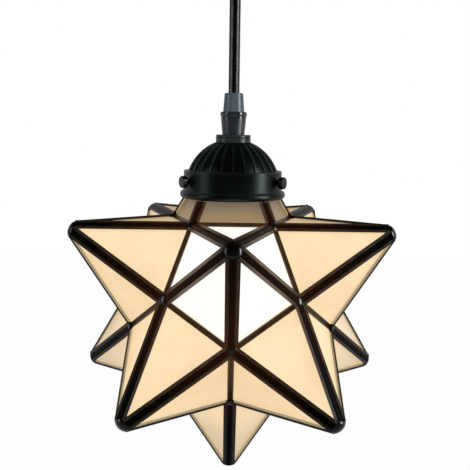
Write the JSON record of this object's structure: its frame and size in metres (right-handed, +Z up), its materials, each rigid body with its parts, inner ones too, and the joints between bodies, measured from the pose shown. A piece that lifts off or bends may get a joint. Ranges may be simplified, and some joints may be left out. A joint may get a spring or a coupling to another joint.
{
  "type": "moravian star pendant",
  "caption": "Leaded glass star pendant on a cord: star shade clamped in a ribbed metal fitter, lamp holder, bulb, cord and ceiling canopy.",
  "frame": {"origin": "centre of the canopy's rim plane, on the ceiling and on the cord's axis", "axes": "+Z up into the ceiling, -Y towards the front point of the star, +X to its right"},
  "size_m": [0.2152, 0.2252, 0.3782],
  "materials": {
    "black_metal": "satin black",
    "came_metal": "blackened, soft gloss",
    "solder": "blackened solder",
    "star_glass": "cream opal glass",
    "steel": "zinc plated",
    "black_plastic": "moulded",
    "grey_plastic": "moulded",
    "terminal_plastic": "moulded",
    "cord_sheath": "glossy sheath",
    "brass": "plain",
    "bulb_glass": "clear to frosted"
  },
  "bodies": {
    "ceiling": {"crossbar": "steel", "canopy_studs": "steel", "cap_nuts": "black_metal", "ground_screw": "steel", "canopy": "black_metal", "canopy_grip": "black_plastic", "grip_locknut": "black_plastic", "terminal_block": "terminal_plastic", "cord_in_canopy": "cord_sheath"},
    "bend": {"cord_bend": "cord_sheath"},
    "cord": {"cord_free": "cord_sheath"},
    "holder": {"cord_in_fitter": "cord_sheath", "strain_relief": "grey_plastic", "neck_collar": "black_metal", "check_ring": "black_metal", "hollow_rod": "steel", "rod_locknut": "steel", "shade_fitter": "black_metal", "holder_cap": "black_plastic", "holder_shell": "black_plastic", "threaded_sleeve": "brass", "centre_contact": "brass"},
    "screw_1": {"thumb_screw_1": "black_metal"},
    "screw_2": {"thumb_screw_2": "black_metal"},
    "screw_3": {"thumb_screw_3": "black_metal"},
    "bulb": {"bulb_base": "brass", "bulb_contact": "brass", "bulb_glass": "bulb_glass", "bulb_stem": "bulb_glass"},
    "shade": {"shade_collar": "black_metal", "panes_top": "star_glass", "panes_bottom": "star_glass", "panes_upper_1": "star_glass", "panes_upper_2": "star_glass", "panes_upper_3": "star_glass", "panes_upper_4": "star_glass", "panes_upper_5": "star_glass", "panes_lower_1": "star_glass", "panes_lower_2": "star_glass", "panes_lower_3": "star_glass", "panes_lower_4": "star_glass", "panes_lower_5": "star_glass", "ridge_cames_top": "came_metal", "ridge_cames_bottom": "came_metal", "ridge_cames_upper_1": "came_metal", "ridge_cames_upper_2": "came_metal", "ridge_cames_upper_3": "came_metal", "ridge_cames_upper_4": "came_metal", "ridge_cames_upper_5": "came_metal", "ridge_cames_lower_1": "came_metal", "ridge_cames_lower_2": "came_metal", "ridge_cames_lower_3": "came_metal", "ridge_cames_lower_4": "came_metal", "ridge_cames_lower_5": "came_metal", "valley_cames": "came_metal", "solder_beads": "solder", "tip_caps": "solder"}
  },
  "joints": [
    {"name": "swing_side", "type": "hinge", "parent": "ceiling", "child": "bend", "pos_m": [0, 0, -0.042], "axis": [0, 1, 0], "range_deg": [-15, 15]},
    {"name": "swing_front", "type": "hinge", "parent": "bend", "child": "cord", "pos_m": [0, 0, -0.056], "axis": [1, 0, 0], "range_deg": [-15, 15]},
    {"name": "cord_twist", "type": "hinge", "parent": "cord", "child": "holder", "pos_m": [0, 0, -0.1084], "axis": [0, 0, 1], "range_deg": [-90, 90], "stiffness_Nm_per_rad": 0.004},
    {"name": "bulb_turn", "type": "hinge", "parent": "holder", "child": "bulb", "pos_m": [0, 0, -0.18], "axis": [0, 0, -1], "range_deg": [0, 1260]},
    {"name": "shade_drop", "type": "slide", "parent": "holder", "child": "shade", "axis": [0, 0, -1], "range_m": [0, 0.1]},
    {"name": "screw_1_out", "type": "slide", "parent": "holder", "child": "screw_1", "axis": [-0.866, -0.5, 0], "range_m": [0, 0.005]},
    {"name": "screw_2_out", "type": "slide", "parent": "holder", "child": "screw_2", "axis": [0.866, -0.5, 0], "range_m": [0, 0.005]},
    {"name": "screw_3_out", "type": "slide", "parent": "holder", "child": "screw_3", "axis": [0, 1, 0], "range_m": [0, 0.005]}
  ]
}
